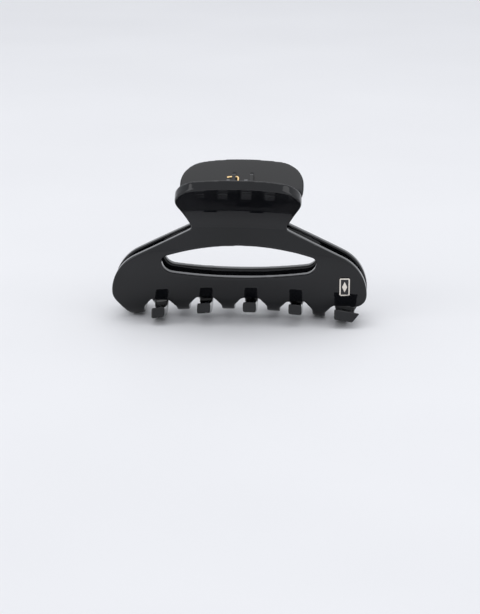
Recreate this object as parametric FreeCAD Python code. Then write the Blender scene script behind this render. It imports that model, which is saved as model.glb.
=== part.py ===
import FreeCAD, Part
import math
import os

# A sprung hair claw in black cellulose acetate: two identical jaws, heat-bent from flat sheet,
# turn on a brass pin and are held closed by a torsion spring wound round the pin.
# Frame: origin on the ground under the middle of the clip, +X along it, front jaw at -Y, +Z up.

# --- sheet and the line that it is bent to (front jaw, seen along X) ---
SHEET = 4.0                  # thickness of the acetate
TOP_Y, TOP_Z = -20.8, 57.8   # middle of the sheet at the handle's top edge
TOP_LEAN = 53.0              # degrees from vertical at the top edge
FLARE_LEAN = 42.0            # where the handle's gentle curve meets the neck's tight one
NECK_LEAN = -15.0            # below the neck the wall starts outward again
WALL_LEAN = 17.0
FLARE_RADIUS = 86.0          # bends, at the middle of the sheet
NECK_BEND_RADIUS = 12.0
WALL_RADIUS = 45.0
TOOTH_RADIUS = 7.0
TIP_RADIUS = 60.0
WALL_STRAIGHT = 0.93         # flat stretch between the wall's curve and the tooth's bend
TOOTH_FLAT_TURN = 97.0       # heading where the tight bend ends
TIP_TURN = 109.0             # heading at the tip, past level, so the tip curls up
TOP_SPARE = 4.0              # sheet left above the top edge before it is trimmed

# --- the long bow and arch of the row of teeth ---
ROW_RADIUS = 246.0           # of the sweep that carries the bent line along the clip
ROW_TILT = 68.0              # 0 would bow it outward only, 90 would arch it only
ROW_AXIS_Z = 10.0            # height at which the sweep's radius is measured
ROW_REACH = 17.0             # half the sweep in degrees, past both ends of the jaw
APEX_X = -4.45               # the sweep is symmetric about the middle tooth

# --- teeth ---
TEETH = 5
TOOTH_PITCH = 17.8
TOOTH_TIP_HALF = 2.6
VALLEY_ROOT_HALF = 2.6       # flat part of the valley's top
VALLEY_CORNER = 1.8
VALLEY_SLOPE = 50.0          # how steeply the valley's sides run into the teeth
VALLEY_FLARE_RADIUS = 4.0
CUT_LEAN = 50.0              # the valleys are cut square to the sheet where it leans this much
LAST_VALLEY_LIFT = 1.0       # it clears the other jaw's end tooth under the heel
VALLEY_LEAN = 18.0           # lean of the outer face at the top of a valley

# --- outline of a jaw, seen along Y ---
HALF_LENGTH = 50.0
HANDLE_HALF = 24.5
HANDLE_WIDEST_Z = 49.2       # the sides narrow below here
HANDLE_SIDE_RADIUS = 6.0
HANDLE_NARROWING = 32.0      # lean of the narrowing sides from vertical
HANDLE_TOP_RADIUS = 94.0
HANDLE_TOP_HALF = 15.5       # where the top arc meets the corner
NECK_HALF = 18.6
NECK_RADIUS = 1.4
SHOULDER_FALL = 26.0         # slope of the shoulder in degrees
SHOULDER_RADIUS = 16.5
HEEL_RADIUS = 5.0
HEEL_Z = 5.8
END_SLANT = 50.0             # slope of the edge that runs into the end tooth
END_RADIUS = 6.0

# --- long window ---
WINDOW_BOTTOM = 18.0
WINDOW_FLOOR_HALF = 26.0     # half width of the nearly flat lower edge
WINDOW_FLOOR_TURN = 7.0
WINDOW_CORNER_RADIUS = 4.8
WINDOW_CORNER_TURN = 75.0
WINDOW_END_RADIUS = 2.2
WINDOW_CROWN_TURN = 18.0     # half the turn of the arched upper edge

FAR = 200.0                  # well outside the clip
HANDLE_TRIM = 3.0            # straight sides left to the trim below the handle's corners
TOOTH_BEND_STATION = 10      # where the tooth's bend starts along the bent line

# --- hinge: four glued fins, a brass pin and a torsion spring ---
PIN_Z = 50.0
PIN_RADIUS = 1.0
PIN_CLEARANCE = 0.05         # the pin turns in the rear fins and is tight in the front ones
PIN_HALF = 5.75              # half of the shank's length
HEAD_RADIUS, HEAD_THICK, HEAD_ROUND = 1.7, 0.6, 0.35
LUG_THICK = 1.4
LUG_INNER, LUG_OUTER = 1.95, 3.55    # inner faces of the inner and the outer pair
LUG_NOSE = 3.6               # radius round the pin
LUG_FOOT_Y, LUG_FOOT_Z = -2.5, 43.0
LUG_BACK_Y = -12.0           # past the sheet, where the fin is trimmed to it
LUG_TAIL_Y, LUG_TAIL_Z = -20.0, 50.0    # the top edge slopes down to here, past the sheet too
LUG_FLANK = math.radians(60)    # where the fin's lower edge meets the nose
LUG_TOP_Z = 56.2
LUG_TOP_FRONT_Y, LUG_TOP_BACK_Y = -4.5, -9.0
WIRE = 1.1                   # spring wire
WIRE_BEND = 0.65
WIRE_PITCH = 1.12
WIRE_GAP = 0.15              # hairline between the coil and each leg, one wire in reality
COIL_WHOLE_TURNS = 2
COIL_RADIUS = 1.9            # of the wire's middle
LEG_HOLE_Y, LEG_HOLE_Z = 8.0, 54.3
LEG_TIP_X = -5.6

# --- badge on the front jaw ---
BADGE_X, BADGE_Z = 41.3, 14.8
BADGE_WIDE, BADGE_TALL, BADGE_THICK = 4.0, 7.3, 0.7
BADGE_LIFT = 0.05            # the plate is flat and the jaw is slightly bowed
BADGE_CORNER = 0.5
BADGE_RIM, BADGE_SINK = 0.5, 0.3
ENAMEL_THICK = 0.18
LOZENGE_WIDE, LOZENGE_TALL = 2.0, 4.4
STUD_RADIUS, STUD_DEEP, STUD_SPACING = 0.45, 2.2, 4.0

OUT = "parts"


def vec(x, y, z):
    return FreeCAD.Vector(x, y, z)


X, Y, Z = vec(1, 0, 0), vec(0, 1, 0), vec(0, 0, 1)


def heading(lean):
    """Direction (y, z) of the sheet running down, leaning this much from vertical."""
    a = math.radians(lean)
    return math.sin(a), -math.cos(a)


def inward(lean):
    """Unit normal (y, z) of the sheet towards the other jaw."""
    a = math.radians(lean)
    return math.cos(a), math.sin(a)


def step(point, lean, distance):
    hy, hz = heading(lean)
    return point[0] + distance * hy, point[1] + distance * hz


def arc_point(start, lean, new_lean, radius):
    """Where a bend of this radius ends, turning from one lean to another."""
    side = 1 if new_lean > lean else -1
    ny, nz = inward(lean)
    my, mz = inward(new_lean)
    return start[0] + side * radius * (ny - my), start[1] + side * radius * (nz - mz)


def bent_line():
    """Stations (point, lean) along the middle of the sheet, each with a middle one between."""
    top = step((TOP_Y, TOP_Z), TOP_LEAN, -TOP_SPARE)
    stations = [(top, TOP_LEAN)]

    def straight(length):
        point, lean = stations[-1]
        stations.append((step(point, lean, length / 2), lean))
        stations.append((step(point, lean, length), lean))

    def bend(new_lean, radius):
        point, lean = stations[-1]
        middle = (lean + new_lean) / 2
        stations.append((arc_point(point, lean, middle, radius), middle))
        stations.append((arc_point(point, lean, new_lean, radius), new_lean))

    straight(TOP_SPARE)
    bend(FLARE_LEAN, FLARE_RADIUS)
    bend(NECK_LEAN, NECK_BEND_RADIUS)
    bend(WALL_LEAN, WALL_RADIUS)
    straight(WALL_STRAIGHT)
    bend(TOOTH_FLAT_TURN, TOOTH_RADIUS)
    bend(TIP_TURN, TIP_RADIUS)
    return stations


def face_side(stations, offset):
    """Points of one face of the sheet, offset from its middle towards the other jaw."""
    points = []
    for (y, z), lean in stations:
        ny, nz = inward(lean)
        points.append(vec(APEX_X, y + offset * ny, z + offset * nz))
    return points


def chain(points):
    """Edges through points taken in threes: straight where they are in line, else arcs."""
    edges = []
    for i in range(0, len(points) - 2, 2):
        a, b, c = points[i:i + 3]
        if (b - a).cross(c - b).Length < 1e-6:
            edges.append(Part.LineSegment(a, c).toShape())
        else:
            edges.append(Part.Arc(a, b, c).toShape())
    return edges


def band():
    """The bent sheet, swept the whole length of the clip with its bow and arch."""
    stations = bent_line()
    outer = face_side(stations, -SHEET / 2)
    inner = face_side(stations, SHEET / 2)
    inner.reverse()
    edges = chain(outer)
    edges.append(Part.LineSegment(outer[-1], inner[0]).toShape())
    edges += chain(inner)
    edges.append(Part.LineSegment(inner[-1], outer[0]).toShape())
    profile = Part.Face(Part.Wire(edges))
    tilt = math.radians(ROW_TILT)
    toward = vec(0, math.cos(tilt), -math.sin(tilt))
    along = vec(0, math.sin(tilt), math.cos(tilt))
    middle = vec(APEX_X, 0, ROW_AXIS_Z)
    centre = middle + toward * ROW_RADIUS
    profile.rotate(centre, along, -ROW_REACH)
    return profile.revolve(centre, along, 2 * ROW_REACH)


class Path:
    """An outline drawn by runs and bends on the plane of two unit vectors."""

    def __init__(self, u, v, across, along, angle, origin=None):
        self.u, self.v = u, v
        self.origin = origin or vec(0, 0, 0)
        self.at = (across, along)
        self.angle = angle
        self.edges = []

    def place(self, point):
        return self.origin + self.u * point[0] + self.v * point[1]

    def line_to(self, across, along):
        end = (across, along)
        self.edges.append(Part.LineSegment(self.place(self.at), self.place(end)).toShape())
        self.angle = math.degrees(math.atan2(along - self.at[1], across - self.at[0]))
        self.at = end

    def run(self, length):
        a = math.radians(self.angle)
        self.line_to(self.at[0] + length * math.cos(a), self.at[1] + length * math.sin(a))

    def bend(self, turn, radius):
        """An arc that turns left by turn degrees (right where it is negative)."""
        side = 1 if turn > 0 else -1
        normal = math.radians(self.angle + 90 * side)
        centre = (self.at[0] + radius * math.cos(normal), self.at[1] + radius * math.sin(normal))
        points = []
        for part in (0.5, 1.0):
            a = normal + math.pi + math.radians(turn * part)
            points.append((centre[0] + radius * math.cos(a), centre[1] + radius * math.sin(a)))
        arc = Part.Arc(self.place(self.at), self.place(points[0]), self.place(points[1]))
        self.edges.append(arc.toShape())
        self.at = points[1]
        self.angle += turn


def solid_of(edges, direction):
    """Prism of a closed outline, extruded right through the clip along direction."""
    face = Part.Face(Part.Wire(Part.__sortEdges__(edges)))
    face.translate(direction * -FAR / 2)
    return face.extrude(direction * FAR)


def body_side(sign):
    """One side of the outline from above the handle down to the shoulder's widest point."""
    path = Path(X * sign, Z, HANDLE_HALF, FAR / 2, -90)
    path.line_to(HANDLE_HALF, HANDLE_WIDEST_Z)
    path.bend(-HANDLE_NARROWING, HANDLE_SIDE_RADIUS)
    lean = math.radians(HANDLE_NARROWING)
    fall = math.radians(SHOULDER_FALL)
    neck_turn_reach = NECK_RADIUS * (1 - math.cos(lean))
    path.run((path.at[0] - neck_turn_reach - NECK_HALF) / math.sin(lean))
    path.bend(90 + HANDLE_NARROWING - SHOULDER_FALL, NECK_RADIUS)
    shoulder_reach = SHOULDER_RADIUS * (1 - math.sin(fall))
    path.run((HALF_LENGTH - shoulder_reach - path.at[0]) / math.cos(fall))
    path.bend(SHOULDER_FALL - 90, SHOULDER_RADIUS)
    return path


def body_prism():
    """The jaw's outline seen along Y; the teeth and the top edge are trimmed by others."""
    heel = body_side(1)
    heel.line_to(HALF_LENGTH, HEEL_Z + HEEL_RADIUS)
    heel.bend(-90, HEEL_RADIUS)
    heel.line_to(last_tooth() + TOOTH_PITCH / 2, HEEL_Z)
    heel.line_to(last_tooth() + TOOTH_PITCH / 2, -FAR / 2)
    slanted = body_side(-1)
    slanted.bend(END_SLANT - 90, END_RADIUS)
    slant = math.radians(END_SLANT)
    flank = TOOTH_TIP_HALF + TOOTH_PITCH * (TEETH - 1) / 2 - APEX_X
    flare_reach = VALLEY_FLARE_RADIUS * (1 - math.sin(slant))
    slanted.run((slanted.at[0] - flare_reach - flank) / math.cos(slant))
    slanted.bend(90 - END_SLANT, VALLEY_FLARE_RADIUS)
    slanted.line_to(flank, -FAR / 2)
    edges = heel.edges + slanted.edges
    edges.append(Part.LineSegment(heel.place(heel.at), slanted.place(slanted.at)).toShape())
    top = vec(HANDLE_HALF, 0, FAR / 2)
    edges.append(Part.LineSegment(top, top - X * 2 * HANDLE_HALF).toShape())
    return solid_of(edges, Y)


def handle_prism():
    """The handle's arched top edge and its corners, cut square to the sheet."""
    ny, nz = inward(TOP_LEAN)
    hy, hz = heading(TOP_LEAN)
    up = vec(0, -hy, -hz)
    crown = vec(0, TOP_Y, TOP_Z)
    turn = math.degrees(math.asin(HANDLE_TOP_HALF / HANDLE_TOP_RADIUS))
    reach = HANDLE_HALF - HANDLE_TOP_HALF
    corner = reach / (1 - math.sin(math.radians(turn)))
    edges = []
    ends = []
    for sign in (1, -1):
        path = Path(X * sign, up, 0, 0, 0, crown)
        path.bend(-turn, HANDLE_TOP_RADIUS)
        path.bend(turn - 90, corner)
        path.run(HANDLE_TRIM)
        path.line_to(FAR / 2, path.at[1])
        path.line_to(FAR / 2, -FAR)
        edges += path.edges
        ends.append(path.place(path.at))
    edges.append(Part.LineSegment(*ends).toShape())
    return solid_of(edges, vec(0, ny, nz))


def last_tooth():
    return APEX_X + TOOTH_PITCH * (TEETH - 1) / 2


def sag(x):
    """How far the row's sweep has carried the bent line at this x, as (y, z)."""
    away = x - APEX_X
    tilt = math.radians(ROW_TILT)
    drop = ROW_RADIUS - math.sqrt(ROW_RADIUS ** 2 - away ** 2)
    return drop * math.cos(tilt), -drop * math.sin(tilt)


def valley(x, lift=0.0):
    """Cutter for the gap on one side of a tooth, square to the sheet at the bend."""
    start = bent_line()[TOOTH_BEND_STATION][0]
    y, z = arc_point(start, WALL_LEAN, VALLEY_LEAN, TOOTH_RADIUS)
    ny, nz = inward(VALLEY_LEAN)
    sag_y, sag_z = sag(x)
    root = vec(x, y - ny * SHEET / 2 + sag_y, z - nz * SHEET / 2 + sag_z + lift)
    hy, hz = heading(CUT_LEAN)
    cy, cz = inward(CUT_LEAN)
    slope = math.radians(VALLEY_SLOPE)
    half = TOOTH_PITCH / 2 - TOOTH_TIP_HALF
    curved = VALLEY_CORNER * math.sin(slope) + VALLEY_FLARE_RADIUS * (1 - math.sin(slope))
    slanted = (half - VALLEY_ROOT_HALF - curved) / math.cos(slope)
    edges = []
    ends = []
    for sign in (1, -1):
        path = Path(X * sign, vec(0, hy, hz), 0, 0, 0, root)
        path.run(VALLEY_ROOT_HALF)
        path.bend(VALLEY_SLOPE, VALLEY_CORNER)
        path.run(slanted)
        path.bend(90 - VALLEY_SLOPE, VALLEY_FLARE_RADIUS)
        path.run(FAR / 4)
        edges += path.edges
        ends.append(path.place(path.at))
    edges.append(Part.LineSegment(*ends).toShape())
    face = Part.Face(Part.Wire(Part.__sortEdges__(edges)))
    face.translate(vec(0, cy, cz) * -FAR / 4)
    return face.extrude(vec(0, cy, cz) * FAR / 2)


def window():
    """Cutter for the long window, seen along Y."""
    edges = []
    for sign in (1, -1):
        path = Path(X * sign, Z, 0, WINDOW_BOTTOM, 0)
        floor_radius = WINDOW_FLOOR_HALF / math.sin(math.radians(WINDOW_FLOOR_TURN))
        path.bend(WINDOW_FLOOR_TURN, floor_radius)
        path.bend(WINDOW_CORNER_TURN, WINDOW_CORNER_RADIUS)
        path.bend(180 - WINDOW_CROWN_TURN - path.angle, WINDOW_END_RADIUS)
        path.bend(WINDOW_CROWN_TURN, path.at[0] / math.sin(math.radians(WINDOW_CROWN_TURN)))
        edges += path.edges
    return solid_of(edges, Y)


def jaw():
    shape = band().common(body_prism()).common(handle_prism())
    for k in range(1, TEETH + 1):
        lift = LAST_VALLEY_LIFT if k == TEETH else 0.0
        shape = shape.cut(valley(APEX_X + TOOTH_PITCH * (k - TEETH / 2), lift))
    return shape.cut(window()).removeSplitter().Solids[0]


def turned(shape):
    """The same piece on the rear jaw: half a turn about the clip's vertical middle."""
    copy = shape.copy()
    copy.rotate(vec(0, 0, 0), Z, 180)
    return copy


def cylinder(radius, x0, x1, y, z):
    return Part.makeCylinder(radius, x1 - x0, vec(x0, y, z), X)


def lug_blank(jaw_shape, x0):
    """A fin glued inside the front handle: it follows the sheet and wraps round the pin."""
    nose = Part.makeCylinder(LUG_NOSE, LUG_THICK, vec(x0, 0, PIN_Z), X)
    outline = [
        (LUG_BACK_Y, LUG_FOOT_Z),
        (LUG_FOOT_Y, LUG_FOOT_Z),
        (LUG_NOSE * math.cos(LUG_FLANK), PIN_Z - LUG_NOSE * math.sin(LUG_FLANK)),
        (LUG_NOSE, PIN_Z),
        (LUG_TOP_FRONT_Y, LUG_TOP_Z),
        (LUG_TOP_BACK_Y, LUG_TOP_Z),
        (LUG_TAIL_Y, LUG_TAIL_Z),
    ]
    corners = [vec(x0, y, z) for y, z in outline]
    fin = Part.Face(Part.makePolygon(corners + corners[:1])).extrude(X * LUG_THICK)
    blank = fin.fuse(nose).cut(jaw_shape).removeSplitter()
    return max(blank.Solids, key=lambda part: part.CenterOfMass.y)


def lug(jaw_shape, x0, bore, wire_hole):
    shape = lug_blank(jaw_shape, x0)
    shape = shape.cut(cylinder(bore, x0 - 1, x0 + LUG_THICK + 1, 0, PIN_Z))
    if wire_hole:
        y, z = -LEG_HOLE_Y, LEG_HOLE_Z
        shape = shape.cut(cylinder(WIRE / 2, x0 - 1, x0 + LUG_THICK + 1, y, z))
    return shape


def hinge_pin():
    """Brass pin with a domed head formed at its left end."""
    shank = cylinder(PIN_RADIUS, -PIN_HALF, PIN_HALF, 0, PIN_Z)
    head = cylinder(HEAD_RADIUS, -PIN_HALF - HEAD_THICK, -PIN_HALF, 0, PIN_Z)
    rim = [e for e in head.Edges if abs(e.CenterOfMass.x + PIN_HALF + HEAD_THICK) < 1e-6]
    return shank.fuse(head.makeFillet(HEAD_ROUND, rim)).removeSplitter()


def pin_washer():
    """Pressed washer that the far end of the pin is peened over."""
    disc = cylinder(HEAD_RADIUS, PIN_HALF - HEAD_THICK, PIN_HALF, 0, PIN_Z)
    return disc.cut(cylinder(PIN_RADIUS, 0, PIN_HALF + 1, 0, PIN_Z))


def wire_along(points, bend_radius):
    """Round wire through the points, with an arc of the bend radius at each middle one."""
    edges = []
    at = points[0]
    for corner, after in zip(points[1:-1], points[2:]):
        into = (corner - at).normalize()
        out = (after - corner).normalize()
        half = into.getAngle(out) / 2
        cut = bend_radius * math.tan(half)
        start, end = corner - into * cut, corner + out * cut
        bisector = (out - into).normalize()
        middle = corner + bisector * (bend_radius / math.cos(half) - bend_radius)
        edges.append(Part.LineSegment(at, start).toShape())
        edges.append(Part.Arc(start, middle, end).toShape())
        at = end
    edges.append(Part.LineSegment(at, points[-1]).toShape())
    return swept(Part.Wire(edges), points[0], (points[1] - points[0]).normalize())


def swept(path, start, direction):
    section = Part.Wire(Part.Circle(start, direction, WIRE / 2).toShape())
    return path.makePipeShell([section], True, True)


def leg_angle():
    """Polar angle about the pin, in degrees, where the rear leg leaves the coil."""
    rise_y, rise_z = LEG_HOLE_Y, LEG_HOLE_Z - PIN_Z
    reach = math.hypot(rise_y, rise_z)
    return math.degrees(math.atan2(rise_z, rise_y) - math.acos(COIL_RADIUS / reach))


def coil_turns():
    """Turns that bring the wire from one leg round to the other, its mirror image."""
    return COIL_WHOLE_TURNS + (2 * leg_angle() + 180) / 360


def spring_coil():
    """Close-wound turns round the pin, between the two inner lugs."""
    length = WIRE_PITCH * coil_turns()
    helix = Part.makeHelix(WIRE_PITCH, length, COIL_RADIUS, 0, True)
    section = Part.Wire(Part.Circle(vec(COIL_RADIUS, 0, 0), Y, WIRE / 2).toShape())
    coil = Part.Wire(helix.Edges).makePipeShell([section], True, True)
    coil.rotate(vec(0, 0, 0), Y, 90)
    coil.rotate(vec(0, 0, 0), X, 90 + leg_angle())
    coil.translate(vec(-length / 2, 0, PIN_Z))
    return coil


def rear_spring_leg():
    """Leaves the coil's left end, rises and turns out through the rear left lug."""
    x0 = -WIRE_PITCH * coil_turns() / 2
    a = math.radians(leg_angle())
    leave = vec(x0, COIL_RADIUS * math.cos(a), PIN_Z + COIL_RADIUS * math.sin(a))
    corner = vec(x0, LEG_HOLE_Y, LEG_HOLE_Z)
    start = leave + (corner - leave).normalize() * WIRE_GAP
    tip = vec(LEG_TIP_X, LEG_HOLE_Y, LEG_HOLE_Z)
    return wire_along([start, corner, tip], WIRE_BEND)


def badge(jaw_shape):
    """Rimmed plate, lozenge, enamel and two studs, square to the face of the front jaw."""
    ray = Part.LineSegment(vec(BADGE_X, -FAR, BADGE_Z), vec(BADGE_X, 0, BADGE_Z)).toShape()
    inside = ray.common(jaw_shape)
    seat = min((v.Point for v in inside.Vertexes), key=lambda point: point.y)
    face = min(jaw_shape.Faces, key=lambda f: f.distToShape(Part.Vertex(seat))[0])
    normal = face.normalAt(*face.Surface.parameter(seat))
    plate = Part.makeBox(BADGE_WIDE, BADGE_TALL, BADGE_THICK)
    plate.translate(vec(-BADGE_WIDE / 2, -BADGE_TALL / 2, BADGE_LIFT))
    upright = [e for e in plate.Edges if abs(e.tangentAt(0).z) > 0.5]
    plate = plate.makeFillet(BADGE_CORNER, upright)
    tray = Part.makeBox(BADGE_WIDE - 2 * BADGE_RIM, BADGE_TALL - 2 * BADGE_RIM, BADGE_THICK)
    tray.translate(vec(BADGE_RIM - BADGE_WIDE / 2, BADGE_RIM - BADGE_TALL / 2,
                       BADGE_LIFT + BADGE_THICK - BADGE_SINK))
    plate = plate.cut(tray)
    lozenge_top = BADGE_LIFT + BADGE_THICK
    w, h = LOZENGE_WIDE / 2, LOZENGE_TALL / 2
    corners = [vec(w, 0, 0), vec(0, h, 0), vec(-w, 0, 0), vec(0, -h, 0), vec(w, 0, 0)]
    lozenge = Part.Face(Part.makePolygon(corners)).extrude(Z * BADGE_SINK)
    lozenge.translate(Z * (lozenge_top - BADGE_SINK))
    enamel = tray.copy()
    enamel.translate(Z * (ENAMEL_THICK - BADGE_THICK))
    enamel = enamel.common(tray).cut(lozenge)
    studs = Part.makeCompound([
        Part.makeCylinder(STUD_RADIUS, STUD_DEEP + BADGE_LIFT, vec(0, y, -STUD_DEEP))
        for y in (-STUD_SPACING / 2, STUD_SPACING / 2)])
    across = Z.cross(normal).normalize() * -1
    up = normal.cross(across)
    spin = FreeCAD.Rotation(FreeCAD.Matrix(
        across.x, up.x, normal.x, 0, across.y, up.y, normal.y, 0,
        across.z, up.z, normal.z, 0, 0, 0, 0, 1))
    placement = FreeCAD.Placement(seat, spin)
    placed = []
    for shape in (plate, lozenge, enamel, studs):
        shape.Placement = placement.multiply(shape.Placement)
        placed.append(shape)
    return placed


def build():
    blank = jaw()
    plate, lozenge, enamel, studs = badge(blank)
    front = blank
    for stud in studs.Solids:
        front = max(front.cut(stud).Solids, key=lambda part: part.Volume)
    rear = turned(blank)
    left_front = lug(blank, -LUG_OUTER - LUG_THICK, PIN_RADIUS, False)
    right_front = lug(blank, LUG_INNER, PIN_RADIUS, True)
    left_rear = turned(lug(blank, LUG_INNER, PIN_RADIUS + PIN_CLEARANCE, True))
    right_rear = turned(lug(blank, -LUG_OUTER - LUG_THICK, PIN_RADIUS + PIN_CLEARANCE, False))
    leg = rear_spring_leg()
    return {
        "front_jaw": front,
        "rear_jaw": rear,
        "front_lug_left": left_front,
        "front_lug_right": right_front,
        "rear_lug_left": left_rear,
        "rear_lug_right": right_rear,
        "hinge_pin": hinge_pin(),
        "pin_washer": pin_washer(),
        "spring_coil": spring_coil(),
        "rear_spring_leg": leg,
        "front_spring_leg": turned(leg),
        "badge_plate": plate,
        "badge_lozenge": lozenge,
        "badge_enamel": enamel,
        "badge_studs": studs,
    }


def main():
    os.makedirs(OUT, exist_ok=True)
    for name, shape in build().items():
        box = shape.optimalBoundingBox()
        print(name, shape.ShapeType, len(shape.Solids), shape.isValid(), round(shape.Volume, 1),
              [round(v, 2) for v in (box.XMin, box.XMax, box.YMin, box.YMax, box.ZMin, box.ZMax)])
        shape.exportStep(OUT + "/" + name + ".step")


main()
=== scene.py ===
import math

import bmesh
import bpy
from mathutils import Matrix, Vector


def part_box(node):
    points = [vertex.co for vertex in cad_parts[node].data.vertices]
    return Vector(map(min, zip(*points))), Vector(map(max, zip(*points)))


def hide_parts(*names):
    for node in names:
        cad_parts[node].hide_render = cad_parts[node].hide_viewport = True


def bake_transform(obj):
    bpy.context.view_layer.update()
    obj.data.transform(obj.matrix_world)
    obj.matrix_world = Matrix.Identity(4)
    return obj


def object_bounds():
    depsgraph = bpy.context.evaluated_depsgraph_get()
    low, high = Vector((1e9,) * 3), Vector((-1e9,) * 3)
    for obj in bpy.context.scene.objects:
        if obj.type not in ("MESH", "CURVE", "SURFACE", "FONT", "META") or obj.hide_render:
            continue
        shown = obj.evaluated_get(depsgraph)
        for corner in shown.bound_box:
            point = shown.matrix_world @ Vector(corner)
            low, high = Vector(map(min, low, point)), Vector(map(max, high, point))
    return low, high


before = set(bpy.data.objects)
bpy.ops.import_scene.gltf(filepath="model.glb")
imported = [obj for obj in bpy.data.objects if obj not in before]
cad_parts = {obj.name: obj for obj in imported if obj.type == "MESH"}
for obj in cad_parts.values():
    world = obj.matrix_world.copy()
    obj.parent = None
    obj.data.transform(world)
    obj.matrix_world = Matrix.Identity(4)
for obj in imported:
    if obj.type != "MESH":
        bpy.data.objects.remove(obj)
cad_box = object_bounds()

MM = 0.001

# --- camera: a long lens, a little to the right and above, aimed low so that floor shows below ---
CAMERA_AZIMUTH = 3.5         # degrees, towards +X
CAMERA_ELEVATION = 15.5
CAMERA_DISTANCE = 0.92
CAMERA_AIM = Vector((0.0, 0.0, 0.0037))
LENS = 174.6

# --- rounding of the tumbled acetate ---
JAW_VOXEL = 0.30 * MM
JAW_SMOOTHING = 24           # passes
RELAX_FACTOR = 0.5
WELD_DISTANCE = 0.002 * MM
LUG_EDGE = 0.25 * MM
METAL_EDGE = 0.12 * MM
BEVEL_SEGMENTS = 3
SHARP_ANGLE = math.radians(35)

# --- spring wire, with the same measures as the CAD pieces that it replaces ---
WIRE_RADIUS = 0.55 * MM
COIL_RADIUS = 1.9 * MM
COIL_SEGMENTS = 28           # per turn
COIL_WHOLE_TURNS = 2
TUBE_SIDES = 16
BEND_PER_RADIUS = 1.2        # where a leg's corner starts to turn, in wire radii
BEND_STEPS = 6
END_INSET = 0.25             # the domed ends: a ring this far in, in wire radii
END_RINGS = (0.35, 0.8)      # sizes of the outermost ring and of that next one

FLOOR_HALF = 4.0


# ---------------------------------------------------------------- node helpers

def material(name):
    mat = bpy.data.materials.new(name)
    mat.use_nodes = True
    nodes = mat.node_tree.nodes
    return mat, nodes, mat.node_tree.links, nodes["Principled BSDF"]


def noise(nodes, links, scale, detail=3.0, roughness=0.5, stretch=(1, 1, 1)):
    """Object-space noise, so that it stays on the piece as it moves."""
    where = nodes.new("ShaderNodeTexCoord")
    mapping = nodes.new("ShaderNodeMapping")
    mapping.inputs["Scale"].default_value = stretch
    texture = nodes.new("ShaderNodeTexNoise")
    texture.inputs["Scale"].default_value = scale
    texture.inputs["Detail"].default_value = detail
    texture.inputs["Roughness"].default_value = roughness
    links.new(where.outputs["Object"], mapping.inputs["Vector"])
    links.new(mapping.outputs["Vector"], texture.inputs["Vector"])
    return texture.outputs["Fac"]


def spread(nodes, links, value, low, high):
    """Maps a 0 to 1 value to a range."""
    node = nodes.new("ShaderNodeMapRange")
    node.inputs["From Min"].default_value = 0.3
    node.inputs["From Max"].default_value = 0.7
    node.inputs["To Min"].default_value = low
    node.inputs["To Max"].default_value = high
    links.new(value, node.inputs["Value"])
    return node.outputs["Result"]


def ramp(nodes, links, value, low, high):
    """Blends between two colours."""
    node = nodes.new("ShaderNodeValToRGB")
    node.color_ramp.elements[0].position = 0.3
    node.color_ramp.elements[0].color = (*low, 1)
    node.color_ramp.elements[1].position = 0.7
    node.color_ramp.elements[1].color = (*high, 1)
    links.new(value, node.inputs["Fac"])
    return node.outputs["Color"]


def bump(nodes, links, bsdf, height, strength, distance):
    node = nodes.new("ShaderNodeBump")
    node.inputs["Strength"].default_value = strength
    node.inputs["Distance"].default_value = distance
    links.new(height, node.inputs["Height"])
    links.new(node.outputs["Normal"], bsdf.inputs["Normal"])


# ---------------------------------------------------------------- materials

def acetate_material():
    """Polished black cellulose acetate: faint smoky clouds, fine tumbling marks, slight waviness."""
    mat, nodes, links, bsdf = material("black_acetate")
    clouds = noise(nodes, links, 38.0, 4.0, 0.55)
    links.new(ramp(nodes, links, clouds, (0.0022, 0.0024, 0.0032), (0.0058, 0.0062, 0.0078)),
              bsdf.inputs["Base Color"])
    haze = noise(nodes, links, 120.0, 5.0, 0.6)
    links.new(spread(nodes, links, haze, 0.05, 0.09), bsdf.inputs["Roughness"])
    waves = noise(nodes, links, 55.0, 1.0, 0.4)
    bump(nodes, links, bsdf, waves, 0.10, 0.0004)
    bsdf.inputs["IOR"].default_value = 1.45
    return mat


def brass_material(name, low, high, rough_low, rough_high, drawn):
    """Plated brass with drawing marks along X and slightly uneven tone."""
    mat, nodes, links, bsdf = material(name)
    tone = noise(nodes, links, 420.0, 3.0, 0.6)
    links.new(ramp(nodes, links, tone, low, high), bsdf.inputs["Base Color"])
    grain = noise(nodes, links, 900.0, 4.0, 0.6, (0.15, 1.0, 1.0))
    links.new(spread(nodes, links, grain, rough_low, rough_high), bsdf.inputs["Roughness"])
    bump(nodes, links, bsdf, grain, drawn, 0.00003)
    bsdf.inputs["Metallic"].default_value = 1.0
    return mat


def enamel_material():
    """Black fired enamel that fills the badge's tray, a little uneven where it was poured."""
    mat, nodes, links, bsdf = material("badge_enamel")
    tone = noise(nodes, links, 300.0, 2.0, 0.5)
    links.new(ramp(nodes, links, tone, (0.004, 0.004, 0.005), (0.009, 0.009, 0.011)),
              bsdf.inputs["Base Color"])
    bump(nodes, links, bsdf, tone, 0.08, 0.00005)
    bsdf.inputs["Roughness"].default_value = 0.16
    return mat


def floor_material():
    """Matt pale paper with the slightest mottling."""
    mat, nodes, links, bsdf = material("pale_floor")
    tone = noise(nodes, links, 6.0, 2.0, 0.5)
    links.new(ramp(nodes, links, tone, (0.80, 0.80, 0.815), (0.83, 0.83, 0.845)),
              bsdf.inputs["Base Color"])
    bsdf.inputs["Roughness"].default_value = 0.6
    bsdf.inputs["Specular IOR Level"].default_value = 0.25
    return mat


def dress(obj, mat):
    """Puts one material on every slot of the piece."""
    if not obj.material_slots:
        obj.data.materials.append(mat)
    for material_slot in obj.material_slots:
        material_slot.material = mat


# ---------------------------------------------------------------- modifiers on the CAD pieces

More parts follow.
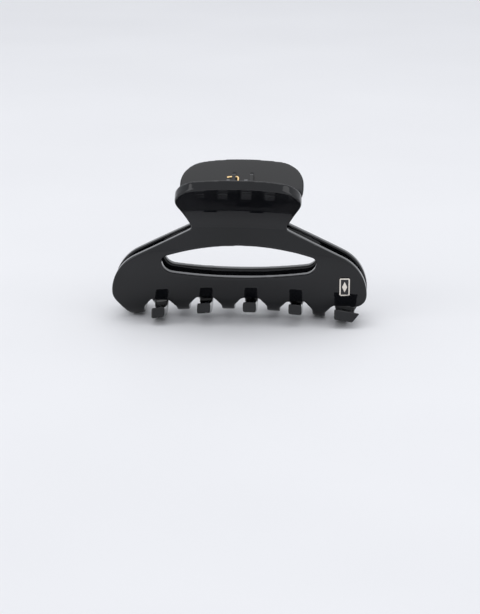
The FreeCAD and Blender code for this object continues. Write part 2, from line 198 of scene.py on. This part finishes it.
def smooth_faces(obj):
    for polygon in obj.data.polygons:
        polygon.use_smooth = True


def weld(obj):
    modifier = obj.modifiers.new("weld", "WELD")
    modifier.merge_threshold = WELD_DISTANCE


def tumble(obj):
    """Rounds every edge of a jaw as tumbling does, by remeshing and relaxing its surface."""
    weld(obj)
    remesh = obj.modifiers.new("remesh", "REMESH")
    remesh.mode = "VOXEL"
    remesh.voxel_size = JAW_VOXEL
    remesh.use_smooth_shade = True
    relax = obj.modifiers.new("relax", "SMOOTH")
    relax.factor = RELAX_FACTOR
    relax.iterations = JAW_SMOOTHING


def soften(obj, width):
    """Rounds the sharp edges of a small piece."""
    weld(obj)
    bevel = obj.modifiers.new("bevel", "BEVEL")
    bevel.width = width
    bevel.segments = BEVEL_SEGMENTS
    bevel.limit_method = "ANGLE"
    bevel.angle_limit = SHARP_ANGLE
    bevel.harden_normals = False
    normals = obj.modifiers.new("normals", "WEIGHTED_NORMAL")
    normals.keep_sharp = False
    smooth_faces(obj)


# ---------------------------------------------------------------- spring

def spring_path():
    """The wire's middle line: rear leg's tip, rear leg, coil, front leg, front leg's tip."""
    low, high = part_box("rear_spring_leg")
    coil_low, coil_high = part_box("spring_coil")
    pin_z = (coil_low[2] + coil_high[2]) / 2
    start_x = coil_low[0] + WIRE_RADIUS
    tip = Vector((low[0], high[1] - WIRE_RADIUS, high[2] - WIRE_RADIUS))
    corner = Vector((start_x, tip.y, tip.z))
    reach = math.hypot(corner.y, corner.z - pin_z)
    leave = math.atan2(corner.z - pin_z, corner.y) - math.acos(COIL_RADIUS / reach)
    bend = WIRE_RADIUS * BEND_PER_RADIUS
    rear = [tip, tip.lerp(corner, 0.5)]
    start = Vector((start_x, COIL_RADIUS * math.cos(leave), pin_z + COIL_RADIUS * math.sin(leave)))
    into = (corner - tip).normalized()
    out = (start - corner).normalized()
    for step in range(BEND_STEPS + 1):
        t = step / BEND_STEPS
        a = corner - into * bend * (1 - t)
        b = corner + out * bend * t
        rear.append(a.lerp(b, t))
    rear.append(corner.lerp(start, 0.5))
    turns = COIL_WHOLE_TURNS + (2 * leave + math.pi) / math.tau
    count = round(turns * COIL_SEGMENTS)
    coil = []
    for step in range(count + 1):
        t = step / count
        a = leave - t * turns * math.tau
        x = start_x * (1 - 2 * t)
        coil.append(Vector((x, COIL_RADIUS * math.cos(a), pin_z + COIL_RADIUS * math.sin(a))))
    front = [Vector((-p.x, -p.y, p.z)) for p in reversed(rear)]
    return rear + coil + front


def tube(name, path, radius):
    """A round tube along the path with domed ends, as a mesh."""
    mesh = bpy.data.meshes.new(name)
    bm = bmesh.new()
    rings = []
    tangent = (path[1] - path[0]).normalized()
    side = tangent.orthogonal().normalized()
    tip_ring, next_ring = END_RINGS
    inset = radius * END_INSET
    stations = [(path[0], tip_ring), (path[0] + tangent * inset, next_ring)]
    stations += [(point, 1.0) for point in path[1:-1]]
    back = (path[-2] - path[-1]).normalized()
    stations += [(path[-1] + back * inset, next_ring), (path[-1], tip_ring)]
    for i, (point, scale) in enumerate(stations):
        before = stations[max(i - 1, 0)][0]
        after = stations[min(i + 1, len(stations) - 1)][0]
        along = (after - before).normalized()
        side = (side - along * side.dot(along)).normalized()
        other = along.cross(side)
        ring = []
        for k in range(TUBE_SIDES):
            a = math.tau * k / TUBE_SIDES
            offset = side * math.cos(a) + other * math.sin(a)
            ring.append(bm.verts.new(point + offset * radius * scale))
        rings.append(ring)
    for ring, following in zip(rings, rings[1:]):
        for k in range(TUBE_SIDES):
            n = (k + 1) % TUBE_SIDES
            bm.faces.new((ring[k], ring[n], following[n], following[k]))
    bm.faces.new(list(reversed(rings[0])))
    bm.faces.new(rings[-1])
    bmesh.ops.recalc_face_normals(bm, faces=bm.faces)
    bm.to_mesh(mesh)
    bm.free()
    obj = bpy.data.objects.new(name, mesh)
    bpy.context.collection.objects.link(obj)
    smooth_faces(obj)
    return obj


def spring(wire):
    """The whole spring in one piece, wound between the two jaws."""
    obj = tube("torsion_spring", spring_path(), WIRE_RADIUS)
    dress(obj, wire)
    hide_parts("spring_coil", "rear_spring_leg", "front_spring_leg")
    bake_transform(obj)


# ---------------------------------------------------------------- stage

def stage_floor(mat):
    mesh = bpy.data.meshes.new("floor")
    bm = bmesh.new()
    bmesh.ops.create_grid(bm, x_segments=4, y_segments=4, size=FLOOR_HALF)
    bm.to_mesh(mesh)
    bm.free()
    floor = bpy.data.objects.new("floor", mesh)
    bpy.context.collection.objects.link(floor)
    floor.location.z = cad_box[0][2]
    dress(floor, mat)


def area_light(name, place, aim, size, power, colour=(1, 1, 1)):
    data = bpy.data.lights.new(name, "AREA")
    data.shape = "RECTANGLE"
    data.size, data.size_y = size
    data.energy = power
    data.color = colour
    light = bpy.data.objects.new(name, data)
    bpy.context.collection.objects.link(light)
    light.location = place
    light.rotation_euler = (Vector(aim) - Vector(place)).to_track_quat("-Z", "Y").to_euler()
    return light


def lights():
    """A white tent: a big overhead softbox, two side panels and an even pale surround."""
    area_light("overhead", (0.0, 0.15, 1.1), (0, 0, 0), (1.2, 0.9), 3.3)
    area_light("left_panel", (-1.0, -0.5, 0.6), (0, 0, 0.03), (0.5, 0.9), 1.9)
    area_light("right_panel", (1.0, -0.3, 0.6), (0, 0, 0.03), (0.5, 0.9), 1.5)
    world = bpy.data.worlds.new("studio")
    world.use_nodes = True
    background = world.node_tree.nodes["Background"]
    background.inputs["Color"].default_value = (0.90, 0.92, 0.96, 1)
    background.inputs["Strength"].default_value = 0.86
    bpy.context.scene.world = world
    bpy.context.scene.view_settings.view_transform = "Standard"


def camera():
    data = bpy.data.cameras.new("camera")
    data.lens = LENS
    data.sensor_width = 36.0
    data.sensor_fit = "HORIZONTAL"
    obj = bpy.data.objects.new("camera", data)
    bpy.context.collection.objects.link(obj)
    azimuth, elevation = math.radians(CAMERA_AZIMUTH), math.radians(CAMERA_ELEVATION)
    away = Vector((math.sin(azimuth) * math.cos(elevation),
                   -math.cos(azimuth) * math.cos(elevation),
                   math.sin(elevation)))
    obj.location = CAMERA_AIM + away * CAMERA_DISTANCE
    obj.rotation_euler = (-away).to_track_quat("-Z", "Y").to_euler()
    bpy.context.scene.camera = obj


# ---------------------------------------------------------------- the clip

camera()
lights()
stage_floor(floor_material())

acetate = acetate_material()
pin_brass = brass_material("pin_brass", (0.62, 0.42, 0.18), (0.76, 0.55, 0.27), 0.18, 0.34, 0.15)
wire_brass = brass_material("wire_brass", (0.78, 0.54, 0.25), (0.90, 0.67, 0.36), 0.14, 0.26, 0.10)
badge_metal = brass_material("badge_metal", (0.80, 0.74, 0.66), (0.90, 0.85, 0.78),
                             0.12, 0.22, 0.06)

for name in ("front_jaw", "rear_jaw"):
    dress(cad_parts[name], acetate)
    tumble(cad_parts[name])
for name in ("front_lug_left", "front_lug_right", "rear_lug_left", "rear_lug_right"):
    dress(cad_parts[name], acetate)
    soften(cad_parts[name], LUG_EDGE)
for name in ("hinge_pin", "pin_washer"):
    dress(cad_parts[name], pin_brass)
    soften(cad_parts[name], METAL_EDGE)
for name in ("badge_plate", "badge_lozenge", "badge_studs"):
    dress(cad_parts[name], badge_metal)
    soften(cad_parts[name], METAL_EDGE)
dress(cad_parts["badge_enamel"], enamel_material())
spring(wire_brass)
